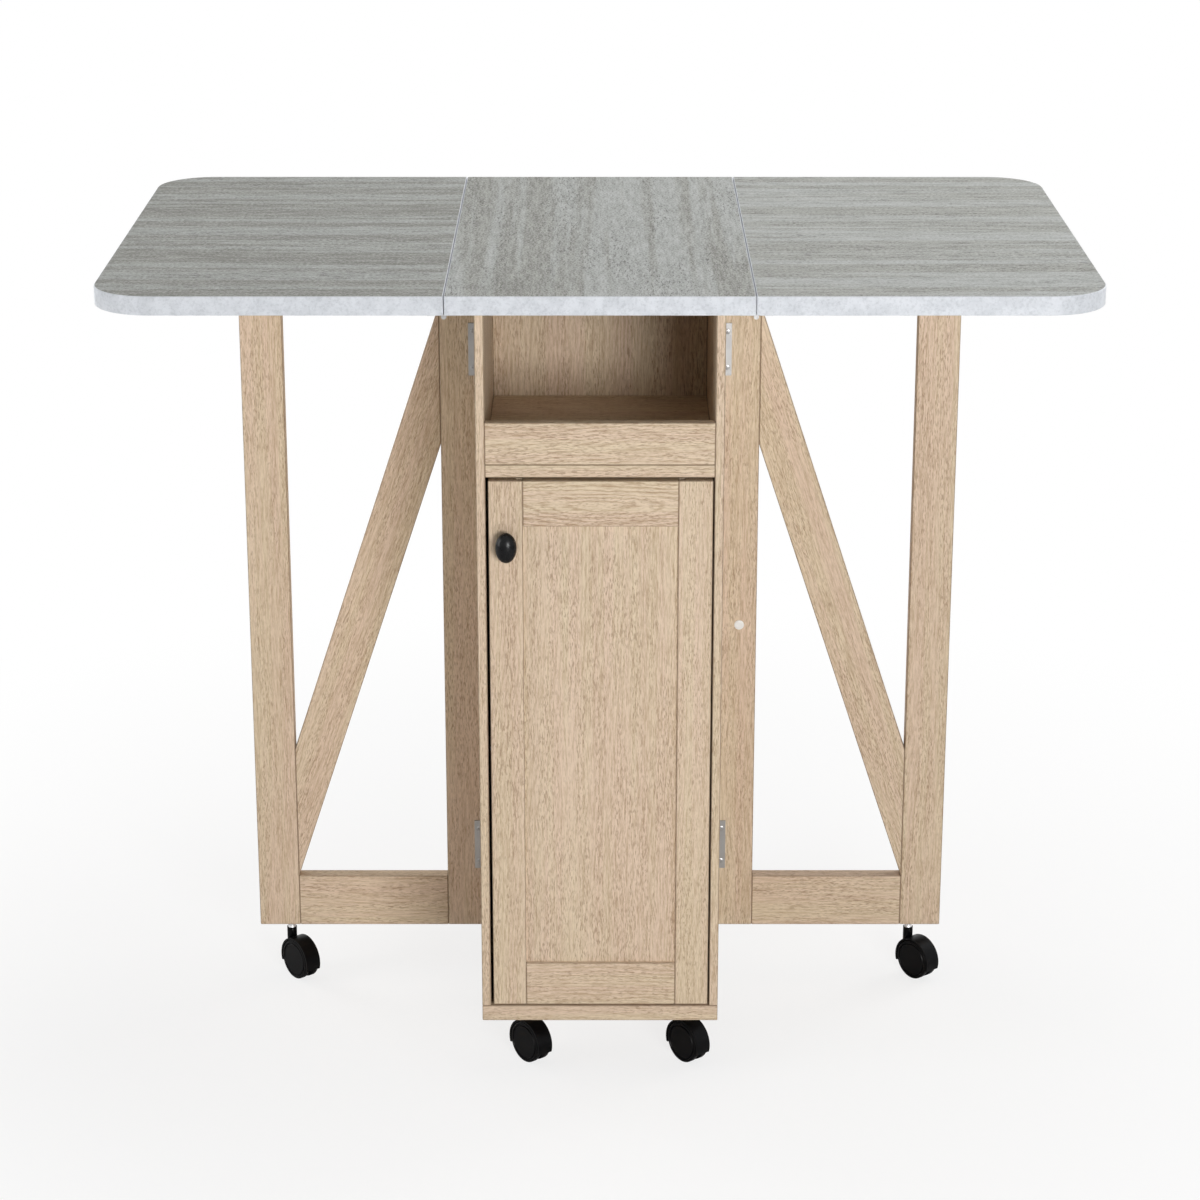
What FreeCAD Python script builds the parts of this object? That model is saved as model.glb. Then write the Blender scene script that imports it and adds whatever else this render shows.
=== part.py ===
"""Drop-leaf kitchen table on a narrow storage cabinet.

Two swing-out gates on casters carry the leaves. The cabinet has an open niche under
the top, a cupboard with one framed door, and open shelves at the back. All sizes are
in millimetres. The frame has +Z up, X across the long side of the top, and its origin
on the floor under the middle of the top. The front, with the door, looks along -Y.
"""
import FreeCAD, Part
import math
import os
import Sketcher

doc = FreeCAD.newDocument("kitchen_table")

# ---------------------------------------------------------------- driving dimensions
SIZES = [
    ("table_height", 750), ("top_width", 866), ("top_depth", 522), ("top_thick", 16.5),
    ("seam_x", 132), ("seam_gap", 0.6), ("corner_radius", 52), ("edge_break", 0.7),
    ("cabinet_width", 217), ("cabinet_depth", 420), ("side_thick", 8), ("ground_gap", 54),
    ("bottom_thick", 15), ("niche_floor_z", 576.5), ("shelf_thick", 11.5),
    ("lip_height", 38), ("lip_thick", 9.5), ("partition_y", 26), ("partition_thick", 12),
    ("rear_setback", 3), ("rear_shelf_low", 283), ("rear_shelf_high", 508),
    ("door_shelf_z", 315), ("door_shelf_front", 25), ("support_leg", 12),
    ("support_inset", 30),
    ("door_width", 197), ("door_gap_right", 1.4), ("door_gap_below", 1.5),
    ("door_height", 503), ("door_thick", 15), ("stile_width", 30.2), ("rail_width", 41.8),
    ("panel_thick", 6), ("panel_recess", 3), ("groove_depth", 6), ("fit_play", 0.5),
    ("knob_width", 19), ("knob_height", 27.5), ("knob_reach", 19), ("knob_inset", 15.5),
    ("knob_z", 515.5), ("knob_neck", 11), ("knob_dome", 8), ("knob_round", 2.4),
    ("cup_radius", 13), ("cup_depth", 11), ("cup_wall", 1), ("cup_inset", 16),
    ("cup_low_z", 150), ("cup_high_z", 494), ("cup_flange", 21), ("arm_width", 12),
    ("catch_x", 58), ("catch_width", 40), ("catch_height", 12), ("catch_depth", 15),
    ("gate_y", 5), ("gate_thick", 15), ("gate_play", 1.5), ("gate_reach", 335),
    ("post_width", 39.5), ("gate_top", 731), ("gate_rail", 52), ("brace_rise", 133),
    ("glide_size", 14), ("glide_play", 0.1),
    ("gate_axis_x", 111.5), ("gate_axis_y", 2), ("barrel_radius", 2.4), ("plate_thick", 1.2),
    ("gate_hinge_low", 115), ("gate_hinge_high", 613), ("gate_hinge_height", 50),
    ("gate_plate", 11), ("pin_play", 0.05), ("knuckle_play", 0.3),
    ("leaf_hinge_length", 30), ("leaf_plate", 14), ("leaf_hinge_front", -256),
    ("leaf_hinge_rear", 226), ("leaf_barrel", 2.25),
    ("wheel_radius", 19.5), ("wheel_inner", 2.5), ("wheel_outer", 8), ("caster_trail", 13.5), ("caster_turn", -50),
    ("caster_x", 73.5), ("caster_y", 170), ("gate_caster_x", 305), ("axle_radius", 1.5),
    ("hood_radius", 22), ("hood_clear", 20.2), ("web_half", 2),
    ("boss_radius", 6.5), ("hood_base", 13), ("neck_radius", 4.8), ("neck_low", 33),
    ("neck_top", 49), ("stem_radius", 4), ("stem_top", 64), ("stem_play", 0.1),
    ("bracket_leg", 18), ("bracket_width", 16), ("bracket_thick", 1.6), ("bracket_y", 150),
]

sizes = doc.addObject("Spreadsheet::Sheet", "Sizes")
for row, (alias, number) in enumerate(SIZES, start=1):
    sizes.set("A%d" % row, alias)
    sizes.set("B%d" % row, str(number))
    sizes.setAlias("B%d" % row, alias)
doc.recompute()

NODES = []          # the sub-parts, in the order in which they are made


# ---------------------------------------------------------------- helpers
def bound(text):
    """Writes plain size names as references to the sheet."""
    words = text.replace("(", " ( ").replace(")", " ) ").split()
    known = {alias for alias, _ in SIZES}
    return " ".join("Sizes." + word if word in known else word for word in words)


def value(text):
    """The number that an expression has now."""
    return float(sizes.evalExpression(bound(text)))


def place(thing, at, turn=None):
    """Binds an object's place to the sheet; turn is a fixed rotation."""
    if turn:
        thing.Placement = FreeCAD.Placement(FreeCAD.Vector(), turn)
    for axis, text in zip("xyz", at):
        thing.setExpression("Placement.Base." + axis, bound(text))
    return thing


def node(thing, name):
    """Gives a finished sub-part its name and lists it."""
    thing.Label = name
    NODES.append(thing)
    return thing


def new_body(name, at):
    return place(doc.addObject("PartDesign::Body", "body_" + name), at)


def new_sketch(body, role, offset=None):
    """A sketch on one of the body's own planes, moved along that plane's normal."""
    sketch = body.newObject("Sketcher::SketchObject", "outline")
    plane = [part for part in body.Origin.OriginFeatures if part.Role == role]
    sketch.AttachmentSupport = [(plane[0], "")]
    sketch.MapMode = "FlatFace"
    if offset:
        sketch.setExpression("AttachmentOffset.Base.z", bound(offset))
    return sketch


def fix(sketch, geometry, point, across, up):
    """Ties one point of a sketch to its two coordinates."""
    for kind, axis, text in (("DistanceX", -2, across), ("DistanceY", -1, up)):
        if text == "0":
            sketch.addConstraint(Sketcher.Constraint("PointOnObject", geometry, point, axis))
            continue
        tie = Sketcher.Constraint(kind, -1, 1, geometry, point, value(text))
        sketch.setExpression("Constraints[%d]" % sketch.addConstraint(tie), bound(text))


def polygon(sketch, corners):
    """A closed straight-sided outline through corners given as size expressions."""
    points = [FreeCAD.Vector(value(across), value(up), 0) for across, up in corners]
    first = sketch.GeometryCount
    for start, end in zip(points, points[1:] + points[:1]):
        sketch.addGeometry(Part.LineSegment(start, end))
    for i, (across, up) in enumerate(corners):
        fix(sketch, first + i, 1, across, up)
        before = first + (i - 1) % len(corners)
        sketch.addConstraint(Sketcher.Constraint("Coincident", before, 2, first + i, 1))


def circle(sketch, across, up, radius):
    middle = FreeCAD.Vector(value(across), value(up), 0)
    made = sketch.addGeometry(Part.Circle(middle, FreeCAD.Vector(0, 0, 1), value(radius)))
    fix(sketch, made, 3, across, up)
    tie = sketch.addConstraint(Sketcher.Constraint("Radius", made, value(radius)))
    sketch.setExpression("Constraints[%d]" % tie, bound(radius))


def slot(sketch, width, height):
    """An upright outline with half-round ends, round the sketch's origin."""
    half, rise = value(width) / 2, (value(height) - value(width)) / 2
    for middle, start in ((rise, 0), (-rise, math.pi)):
        ring = Part.Circle(FreeCAD.Vector(0, middle, 0), FreeCAD.Vector(0, 0, 1), half)
        sketch.addGeometry(Part.ArcOfCircle(ring, start, start + math.pi))
        across = half if start else -half
        sketch.addGeometry(Part.LineSegment(FreeCAD.Vector(across, middle, 0),
                                            FreeCAD.Vector(across, -middle, 0)))
    for i in range(4):
        sketch.addConstraint(Sketcher.Constraint("Tangent", i, 2, (i + 1) % 4, 1))
    sketch.addConstraint(Sketcher.Constraint("Equal", 0, 2))
    fix(sketch, 0, 3, "0", "(%s - %s) / 2" % (height, width))
    fix(sketch, 2, 3, "0", "(%s - %s) / 2" % (width, height))
    tie = sketch.addConstraint(Sketcher.Constraint("Radius", 0, half))
    sketch.setExpression("Constraints[%d]" % tie, bound("%s / 2" % width))


def extrude(body, sketch, kind, length, backwards=False):
    """A Pad or Pocket of a sketch, which has to change the body's volume."""
    doc.recompute()
    volume = body.Tip.Shape.Volume if body.Tip else 0
    feature = body.newObject("PartDesign::" + kind, kind.lower())
    feature.Profile = sketch
    feature.Reversed = backwards
    feature.setExpression("Length", bound(length))
    doc.recompute()
    if abs(feature.Shape.Volume - volume) < 1:
        raise RuntimeError("%s changes nothing in %s" % (kind, body.Name))
    return feature


def break_edges(body, keep=lambda edge: True, size="edge_break"):
    """Chamfers the edges of the body's last feature that keep picks."""
    base = body.Tip
    picked = ["Edge%d" % (i + 1) for i, edge in enumerate(base.Shape.Edges) if keep(edge)]
    chamfer = body.newObject("PartDesign::Chamfer", "edge_break")
    chamfer.Base = (base, picked)
    chamfer.setExpression("Size", bound(size))
    doc.recompute()
    return chamfer


# Sketch plane and pad direction that make a board's low corner its own origin.
FACING = {"side": ("YZ_Plane", False), "flat": ("XY_Plane", False), "front": ("XZ_Plane", True)}


def board(name, facing, outline, thick, at):
    """A board cut to a straight outline, with all its edges broken."""
    role, backwards = FACING[facing]
    body = new_body(name, at)
    sketch = new_sketch(body, role)
    polygon(sketch, outline)
    extrude(body, sketch, "Pad", thick, backwards)
    break_edges(body)
    return node(body, name)


def oblong(width, height):
    """The corners of a rectangle whose low corner is the origin."""
    return [("0", "0"), (width, "0"), (width, height), ("0", height)]


def drill(body, role, spots, radius, depth, offset=None, backwards=False):
    """Round pockets at spots, given as pairs of size expressions."""
    sketch = new_sketch(body, role, offset)
    for across, up in spots:
        circle(sketch, across, up, radius)
    extrude(body, sketch, "Pocket", depth, backwards)


def box(size, at):
    made = place(doc.addObject("Part::Box", "box"), at)
    for prop, text in zip(("Length", "Width", "Height"), size):
        made.setExpression(prop, bound(text))
    return made


TURN = {"Z": None, "X": FreeCAD.Rotation(FreeCAD.Vector(0, 1, 0), 90),
        "Y": FreeCAD.Rotation(FreeCAD.Vector(1, 0, 0), -90)}


def rod(radius, length, at, along="Z"):
    made = place(doc.addObject("Part::Cylinder", "rod"), at, TURN[along])
    made.setExpression("Radius", bound(radius))
    made.setExpression("Height", bound(length))
    return made


def joined(parts):
    made = doc.addObject("Part::MultiFuse", "joined")
    made.Shapes = parts
    return made


def cut(base, tool):
    made = doc.addObject("Part::Cut", "cut")
    made.Base = base
    made.Tool = tool
    return made


def common(base, tool):
    made = doc.addObject("Part::Common", "common")
    made.Base = base
    made.Tool = tool
    return made


def group(parts):
    made = doc.addObject("Part::Compound", "group")
    made.Links = parts
    return made


def mirrored(source, normal, base=(0, 0, 0)):
    made = doc.addObject("Part::Mirroring", "mirrored")
    made.Source = source
    made.Normal = normal
    made.Base = base
    return made


def upright(edge):
    return abs(edge.tangentAt(edge.FirstParameter).z) > 0.99


# ---------------------------------------------------------------- cabinet
INNER = "cabinet_width / 2 - side_thick"
CLEAR = "cabinet_width - 2 * side_thick"
CARCASS_LOW = "ground_gap + bottom_thick"
UNDER_TOP = "table_height - top_thick"
FRONT = "- cabinet_depth / 2"


def bottom_board():
    """One board under both uprights, drilled from below for four caster stems."""
    body = board("bottom_board", "flat", oblong("cabinet_width", "cabinet_depth"),
                 "bottom_thick", ("- cabinet_width / 2", FRONT, "ground_gap"))
    spots = [("cabinet_width / 2 %s caster_x" % across, "cabinet_depth / 2 %s caster_y" % along)
             for across in "-+" for along in "-+"]
    drill(body, "XY_Plane", spots, "stem_radius + pin_play", "stem_top + stem_play - ground_gap",
          None, True)


def cabinet_boards():
    """Two uprights stand on the bottom board; all the rest stands between them."""
    left = "- cabinet_width / 2 + side_thick"
    depth = "cabinet_depth / 2 + partition_y"
    height = "table_height - top_thick - ground_gap - bottom_thick"
    for name, low_x in (("side_panel_left", "- cabinet_width / 2"), ("side_panel_right", INNER)):
        board(name, "side", oblong("cabinet_depth", height), "side_thick",
              (low_x, FRONT, CARCASS_LOW))
    board("niche_floor", "flat", oblong(CLEAR, depth), "shelf_thick",
          (left, FRONT, "niche_floor_z"))
    board("niche_lip", "front", oblong(CLEAR, "lip_height"), "lip_thick",
          (left, FRONT, "niche_floor_z + shelf_thick"))
    board("centre_partition", "front", oblong(CLEAR, height), "partition_thick",
          (left, "partition_y", CARCASS_LOW))
    rear_depth = "cabinet_depth / 2 - partition_y - partition_thick - rear_setback"
    for name, low in (("rear_shelf_low", "rear_shelf_low"), ("rear_shelf_high", "rear_shelf_high")):
        board(name, "flat", oblong(CLEAR, rear_depth), "shelf_thick",
              (left, "partition_y + partition_thick", low))
    board("cupboard_shelf", "flat",
          oblong(CLEAR + " - 2 * fit_play", depth + " - door_shelf_front - fit_play"),
          "shelf_thick", (left + " + fit_play", FRONT + " + door_shelf_front", "door_shelf_z"))


def steel_angles(name, level, leg, spots):
    """Small angles screwed to the uprights, with their upper legs at a level."""
    angles = []
    for along in spots:
        low_y = along + " - bracket_width / 2"
        for leg_x, foot_x in ((INNER + " - bracket_thick", INNER + " - " + leg),
                              ("- cabinet_width / 2 + side_thick",) * 2):
            upright_leg = box(("bracket_thick", "bracket_width", leg),
                              (leg_x, low_y, level + " - " + leg))
            foot = box((leg, "bracket_width", "bracket_thick"),
                       (foot_x, low_y, level + " - bracket_thick"))
            angles.append(joined([upright_leg, foot]))
    node(group(angles), name)


def brackets():
    """Four angles hold the top on, and four more carry the cupboard shelf."""
    steel_angles("top_brackets", UNDER_TOP, "bracket_leg", ("- bracket_y", "bracket_y"))
    steel_angles("shelf_supports", "door_shelf_z", "support_leg",
                 (FRONT + " + door_shelf_front + support_inset", "partition_y - support_inset"))


# ---------------------------------------------------------------- table top
def table_top():
    """A fixed middle board and two leaves whose outer corners are rounded."""
    half = "seam_x - seam_gap / 2"
    board("top_centre", "flat", oblong("2 * seam_x - seam_gap", "top_depth"), "top_thick",
          ("- seam_x + seam_gap / 2", "- top_depth / 2", UNDER_TOP))
    leaf = "top_width / 2 - seam_x - seam_gap / 2"
    for name, low_x, outer in (("leaf_left", "- top_width / 2", 0),
                               ("leaf_right", half + " + seam_gap", value(leaf))):
        body = new_body(name, (low_x, "- top_depth / 2", UNDER_TOP))
        sketch = new_sketch(body, "XY_Plane")
        polygon(sketch, oblong(leaf, "top_depth"))
        pad = extrude(body, sketch, "Pad", "top_thick")
        corners = ["Edge%d" % (i + 1) for i, edge in enumerate(pad.Shape.Edges)
                   if upright(edge) and abs(edge.Vertexes[0].X - outer) < 1]
        fillet = body.newObject("PartDesign::Fillet", "corners")
        fillet.Base = (pad, corners)
        fillet.setExpression("Radius", bound("corner_radius"))
        doc.recompute()
        break_edges(body, lambda edge: not upright(edge))
        node(body, name)


# ---------------------------------------------------------------- butt hinges
def gate_hinges(side):
    """Two butt hinges: fixed plates on the cabinet's flank, flaps on the gate's front face.

    The fixed half has the two end knuckles and the flap has the middle one, which turns
    between them on the same axis.
    """
    fixed, flaps = [], []
    third = "gate_hinge_height / 3"
    for low in ("gate_hinge_low", "gate_hinge_high"):
        fixed_half = [box(("plate_thick", "gate_plate", "gate_hinge_height"),
                          ("cabinet_width / 2", "gate_axis_y - gate_plate - 2.5", low))]
        flap = [box(("gate_plate - 2.5", "plate_thick", "gate_hinge_height"),
                    ("gate_axis_x + 2.5", "gate_y - plate_thick", low))]
        for band in range(3):
            play = "knuckle_play" if band == 1 else "0"
            start = "%s + %d * %s + %s" % (low, band, third, play)
            run = "%s - 2 * %s" % (third, play)
            knuckle = rod("barrel_radius", run, ("gate_axis_x", "gate_axis_y", start))
            if band == 1:
                flap += [knuckle, box(("3", "plate_thick", run),
                                      ("gate_axis_x", "gate_y - plate_thick", start))]
            else:
                fixed_half += [knuckle, box(("plate_thick", "3", run),
                                            ("cabinet_width / 2", "gate_axis_y - 3", start))]
        fixed.append(joined(fixed_half))
        flaps.append(joined(flap))
    for name, parts in (("gate_%s_hinge_plates" % side, fixed),
                        ("gate_%s_hinge_flaps" % side, flaps)):
        made = group(parts)
        node(made if side == "right" else mirrored(made, (1, 0, 0)), name)


def leaf_hinges(side):
    """Two flat hinges under each seam, clear of the path of the gate."""
    plates, flaps = [], []
    level = "table_height - top_thick - plate_thick"
    for low in ("leaf_hinge_front", "leaf_hinge_rear"):
        barrel = rod("leaf_barrel", "leaf_hinge_length",
                     ("seam_x", low, "table_height - top_thick - leaf_barrel"), "Y")
        plates.append(joined([barrel, box(("leaf_plate", "leaf_hinge_length", "plate_thick"),
                                          ("seam_x - leaf_plate", low, level))]))
        flaps.append(box(("leaf_plate - 2.6", "leaf_hinge_length", "plate_thick"),
                         ("seam_x + 2.6", low, level)))
    for name, parts in (("leaf_%s_hinge_plates" % side, plates),
                        ("leaf_%s_hinge_flaps" % side, flaps)):
        made = group(parts)
        node(made if side == "right" else mirrored(made, (1, 0, 0)), name)


# ---------------------------------------------------------------- gates
def gate(side):
    """A frame of two posts and two rails, stiffened by a sloping brace."""
    right = side == "right"
    inner, outer = "cabinet_width / 2 + gate_play", "gate_reach"
    span = "gate_reach - 2 * post_width - cabinet_width / 2 - gate_play"

    def low_x(near, width):
        return near if right else "- (%s) - (%s)" % (near, width)

    height = "gate_top - ground_gap"
    board("gate_%s_inner_post" % side, "front", oblong("post_width", height), "gate_thick",
          (low_x(inner, "post_width"), "gate_y", "ground_gap"))
    post_x = low_x(outer + " - post_width", "post_width")
    post = board("gate_%s_outer_post" % side, "front", oblong("post_width", height),
                 "gate_thick", (post_x, "gate_y", "ground_gap"))
    stem = "gate_caster_x - gate_reach + post_width" if right else "gate_reach - gate_caster_x"
    drill(post, "XY_Plane", [(stem, "gate_thick / 2")], "stem_radius + pin_play",
          "stem_top + stem_play - ground_gap", None, True)
    window = low_x(inner + " + post_width", span)
    for name, low in (("bottom_rail", "ground_gap"), ("top_rail", "gate_top - gate_rail")):
        board("gate_%s_%s" % (side, name), "front", oblong(span, "gate_rail"), "gate_thick",
              (window, "gate_y", low))
    rise = "gate_top - ground_gap - 2 * gate_rail"
    near = [("0", rise + " - brace_rise"), ("0", rise)]
    far = [(span, "0"), (span, "brace_rise")]
    flip = [(span, rise + " - brace_rise"), (span, rise)], [("0", "0"), ("0", "brace_rise")]
    near, far = (near, far) if right else flip
    board("gate_%s_brace" % side, "front", [far[0], far[1], near[1], near[0]], "gate_thick",
          (window, "gate_y", "ground_gap + gate_rail"))
    pad = box(("glide_size", "glide_size", "table_height - top_thick - gate_top - glide_play"),
              (low_x("gate_caster_x - glide_size / 2", "glide_size"),
               "gate_y + gate_thick / 2 - glide_size / 2", "gate_top"))
    node(pad, "gate_%s_glide" % side)


# ---------------------------------------------------------------- door
DOOR_RIGHT = "cabinet_width / 2 - side_thick - door_gap_right"
DOOR_LOW = "ground_gap + bottom_thick + door_gap_below"


def door():
    """A framed door: the panel sits in grooves of two stiles and two tongued rails."""
    door_left = DOOR_RIGHT + " - door_width"
    groove_y = "panel_recess"
    for name, low_x, groove in (("door_left_stile", door_left, "stile_width - groove_depth"),
                                ("door_right_stile", DOOR_RIGHT + " - stile_width", "0")):
        body = new_body(name, (low_x, FRONT, DOOR_LOW))
        sketch = new_sketch(body, "XZ_Plane")
        polygon(sketch, oblong("stile_width", "door_height"))
        extrude(body, sketch, "Pad", "door_thick", True)
        break_edges(body)
        slot = new_sketch(body, "XZ_Plane", "- " + groove_y)
        far = groove + " + groove_depth" if groove != "0" else "groove_depth"
        polygon(slot, [(groove, "0"), (far, "0"), (far, "door_height"), (groove, "door_height")])
        extrude(body, slot, "Pocket", "panel_thick", False)
        node(body, name)
        if groove == "0":
            cups = [("stile_width - cup_inset", low + " - ground_gap - bottom_thick - door_gap_below")
                    for low in ("cup_low_z", "cup_high_z")]
            drill(body, "XZ_Plane", cups, "cup_radius", "cup_depth", "- door_thick", True)
    span = "door_width - 2 * stile_width"
    for name, low, groove in (
            ("door_bottom_rail", DOOR_LOW, "rail_width - groove_depth"),
            ("door_top_rail", DOOR_LOW + " + door_height - rail_width", "0")):
        body = new_body(name, (door_left + " + stile_width", FRONT, low))
        sketch = new_sketch(body, "XZ_Plane")
        polygon(sketch, oblong(span, "rail_width"))
        extrude(body, sketch, "Pad", "door_thick", True)
        break_edges(body)
        slot = new_sketch(body, "XZ_Plane", "- " + groove_y)
        far = groove + " + groove_depth" if groove != "0" else "groove_depth"
        polygon(slot, [("0", groove), (span, groove), (span, far), ("0", far)])
        extrude(body, slot, "Pocket", "panel_thick", False)
        node(body, name)
    tuck = "groove_depth - fit_play"
    low = DOOR_LOW + " + rail_width - (%s)" % tuck
    panel = board("door_panel", "front",
                  oblong(span + " + 2 * (%s)" % tuck,
                         "door_height - 2 * rail_width + 2 * (%s)" % tuck), "panel_thick",
                  (door_left + " + stile_width - (%s)" % tuck, FRONT + " + " + groove_y, low))
    cups = [("door_width - stile_width + %s - cup_inset" % tuck, "%s - (%s)" % (level, low))
            for level in ("cup_low_z", "cup_high_z")]
    drill(panel, "XZ_Plane", cups, "cup_radius",
          "cup_depth - door_thick + panel_recess + panel_thick", "- panel_thick", True)


def door_knob():
    """An oval knob with a rounded-over front, on a round neck."""
    body = new_body("door_knob", (
        "cabinet_width / 2 - side_thick - door_gap_right - door_width + knob_inset",
        FRONT, "knob_z"))
    neck = new_sketch(body, "XZ_Plane")
    circle(neck, "0", "0", "knob_neck / 2")
    extrude(body, neck, "Pad", "knob_reach - knob_dome + 1")
    head = new_sketch(body, "XZ_Plane", "knob_reach - knob_dome")
    slot(head, "knob_width", "knob_height")
    extrude(body, head, "Pad", "knob_dome")
    for turn in range(2):
        break_edges(body, lambda edge: edge.BoundBox.YMax < 0.01 - value("knob_reach"),
                    "knob_round")
    node(body, "door_knob")


def door_hinges():
    """Two cup hinges: cups in the door's stile, arms on the right upright."""
    back = FRONT + " + door_thick"
    centre = DOOR_RIGHT + " - cup_inset"
    cups, arms = [], []
    for low in ("cup_low_z", "cup_high_z"):
        shell = rod("cup_radius", "cup_depth", (centre, back + " - cup_depth", low), "Y")
        hollow = rod("cup_radius - cup_wall", "cup_depth + 2",
                     (centre, back + " - cup_depth + cup_wall", low), "Y")
        flange = box(("9", "cup_wall", "2 * cup_flange"),
                     (centre + " - 4.5", back, low + " - cup_flange"))
        cups.append(cut(joined([shell, flange]), hollow))
        plate = box(("2", "32", "40"), (INNER + " - 2", back + " + 17", low + " - 20"))
        arm = box(("9", "44", "arm_width"),
                  (INNER + " - 11", back + " + 1.6", low + " - arm_width / 2"))
        arms.append(joined([plate, arm]))
    node(group(cups), "door_hinge_cups")
    node(group(arms), "door_hinge_arms")


def door_catch():
    """A magnetic catch under the niche floor and its steel plate on the door."""
    low_x = "- catch_x - catch_width / 2"
    node(box(("catch_width", "catch_depth", "catch_height"),
             (low_x, FRONT + " + door_thick + 1.1", "niche_floor_z - catch_height")),
         "door_catch")
    node(box(("catch_width - 8", "1", "catch_height - 4"),
             (low_x + " + 4", FRONT + " + door_thick", "door_height + " + DOOR_LOW
              + " - catch_height + 2")), "door_catch_plate")


# ---------------------------------------------------------------- casters
def caster_shapes():
    """The fork and the wheel pair, with the stem's axis and the floor as their origin."""
    def across(radius, low_y, high_y):
        return rod(radius, "(%s) - (%s)" % (high_y, low_y), ("caster_trail", low_y, "wheel_radius"),
                   "Y")

    discs = [across("wheel_radius", "wheel_inner", "wheel_outer"),
             across("wheel_radius", "- wheel_outer", "- wheel_inner")]
    axle = across("axle_radius", "- wheel_inner", "wheel_inner")

    above = box(("60", "60", "60"), ("-30", "-30", "hood_base"))
    cover = common(across("hood_radius", "- wheel_outer", "wheel_outer"), above)
    boss = across("boss_radius", "- web_half", "web_half")
    neck = rod("neck_radius", "neck_top - neck_low", ("0", "0", "neck_low"))
    hood = joined([cover, boss, neck])
    for low_y, high_y in (("web_half", "web_half + 10"), ("- web_half - 10", "- web_half")):
        hood = cut(hood, across("hood_clear", low_y, high_y))
    hood = cut(hood, across("axle_radius + pin_play", "- web_half - 1", "web_half + 1"))
    stem = rod("stem_radius", "stem_top - neck_top", ("0", "0", "neck_top"))
    return discs + [axle], [joined([hood, stem])]


def casters():
    """Six twin-wheel casters: four under the cabinet and one under each gate."""
    wheels, fork = caster_shapes()
    gate_y = "gate_y + gate_thick / 2"
    spots = [("front_left", "- caster_x", "- caster_y"), ("front_right", "caster_x", "- caster_y"),
             ("rear_left", "- caster_x", "caster_y"), ("rear_right", "caster_x", "caster_y"),
             ("gate_left", "- gate_caster_x", gate_y), ("gate_right", "gate_caster_x", gate_y)]
    turn = FreeCAD.Rotation(FreeCAD.Vector(0, 0, 1), value("caster_turn"))
    for name, across, along in spots:
        at = (across, along, "0")
        node(place(group(fork), at, turn), "caster_%s_fork" % name)
        node(place(group(wheels), at, turn), "caster_%s_wheels" % name)


# ---------------------------------------------------------------- make and export
bottom_board()
cabinet_boards()
brackets()
table_top()
for which in ("left", "right"):
    gate(which)
    gate_hinges(which)
    leaf_hinges(which)
door()
door_knob()
door_hinges()
door_catch()
casters()
doc.recompute()

for thing in doc.Objects:
    if "Invalid" in thing.State or "Error" in thing.State:
        raise RuntimeError("%s did not build" % thing.Name)
for part in NODES:
    if part.Shape.isNull() or not part.Shape.isValid():
        raise RuntimeError("%s has no valid shape" % part.Label)
os.makedirs("parts", exist_ok=True)
for part in NODES:
    part.Shape.exportStep("parts/%s.step" % part.Label)
print("%d sub-parts written" % len(NODES))
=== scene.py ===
"""A drop-leaf kitchen table on a narrow storage cabinet, dressed and lit in a white studio."""
import math

import bmesh
import bpy
from mathutils import Matrix, Vector


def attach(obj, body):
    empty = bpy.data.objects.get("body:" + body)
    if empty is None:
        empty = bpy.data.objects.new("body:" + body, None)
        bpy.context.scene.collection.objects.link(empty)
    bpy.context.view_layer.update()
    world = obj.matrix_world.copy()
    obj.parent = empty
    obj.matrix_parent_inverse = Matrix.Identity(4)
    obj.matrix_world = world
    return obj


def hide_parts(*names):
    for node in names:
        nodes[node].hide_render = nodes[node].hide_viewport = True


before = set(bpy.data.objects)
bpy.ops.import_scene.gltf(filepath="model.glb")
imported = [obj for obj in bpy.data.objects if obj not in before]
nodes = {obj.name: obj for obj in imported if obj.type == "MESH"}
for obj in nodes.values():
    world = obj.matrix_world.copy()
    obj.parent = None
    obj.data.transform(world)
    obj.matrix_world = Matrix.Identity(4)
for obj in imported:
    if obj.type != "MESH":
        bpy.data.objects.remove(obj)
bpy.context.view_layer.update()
bpy.ops.object.select_all(action="DESELECT")


# ------------------------------------------------------------------ cabinet boards
# Uprights, a bottom board, a lip, shelves and a partition, of chipboard under a printed oak
# laminate. The print has soft growth rings, fine fibres and short dark pores that run
# along each board, and strips of it are ironed on the edges. A dark line of painted shade
# runs along every broken edge, standing in for the shadow in the seams between parts.
PALE_OAK, ROSY_OAK = (0.690, 0.565, 0.400, 1), (0.700, 0.543, 0.408, 1)
BROWN_OAK, PORE_BROWN = (0.385, 0.255, 0.145, 1), (0.22, 0.12, 0.06, 1)
# The brown of the dark line on broken edges: painted shade for the shadow in the seams.
PAINTED_SEAM_SHADE_BROWN = (0.12, 0.072, 0.042, 1)
HALF_RINGS_PER_METRE = 470.0
LOG_TAPER = (0.20, 1, 1)
OAK_RELIEF = 0.00012


def feed(tree, kind, inputs=None, **settings):
    """A shader node of that kind, set up and fed by plain values or other sockets."""
    made = tree.nodes.new("ShaderNode" + kind)
    for name, setting in settings.items():
        setattr(made, name, setting)
    for name, fed in (inputs or {}).items():
        if isinstance(fed, bpy.types.NodeSocket):
            tree.links.new(fed, made.inputs[name])
        else:
            made.inputs[name].default_value = fed
    return made


def sums(tree, operation, first, second=0.0, third=0.0):
    """One sum on plain values or sockets, by a Math node."""
    return feed(tree, "Math", {0: first, 1: second, 2: third}, operation=operation).outputs[0]


def laid_on(tree, shade, pattern, strength, offset):
    """A shade with a pattern added, made so many times stronger and moved by an offset."""
    return sums(tree, "ADD", shade, sums(tree, "MULTIPLY_ADD", pattern, strength, offset))


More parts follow.
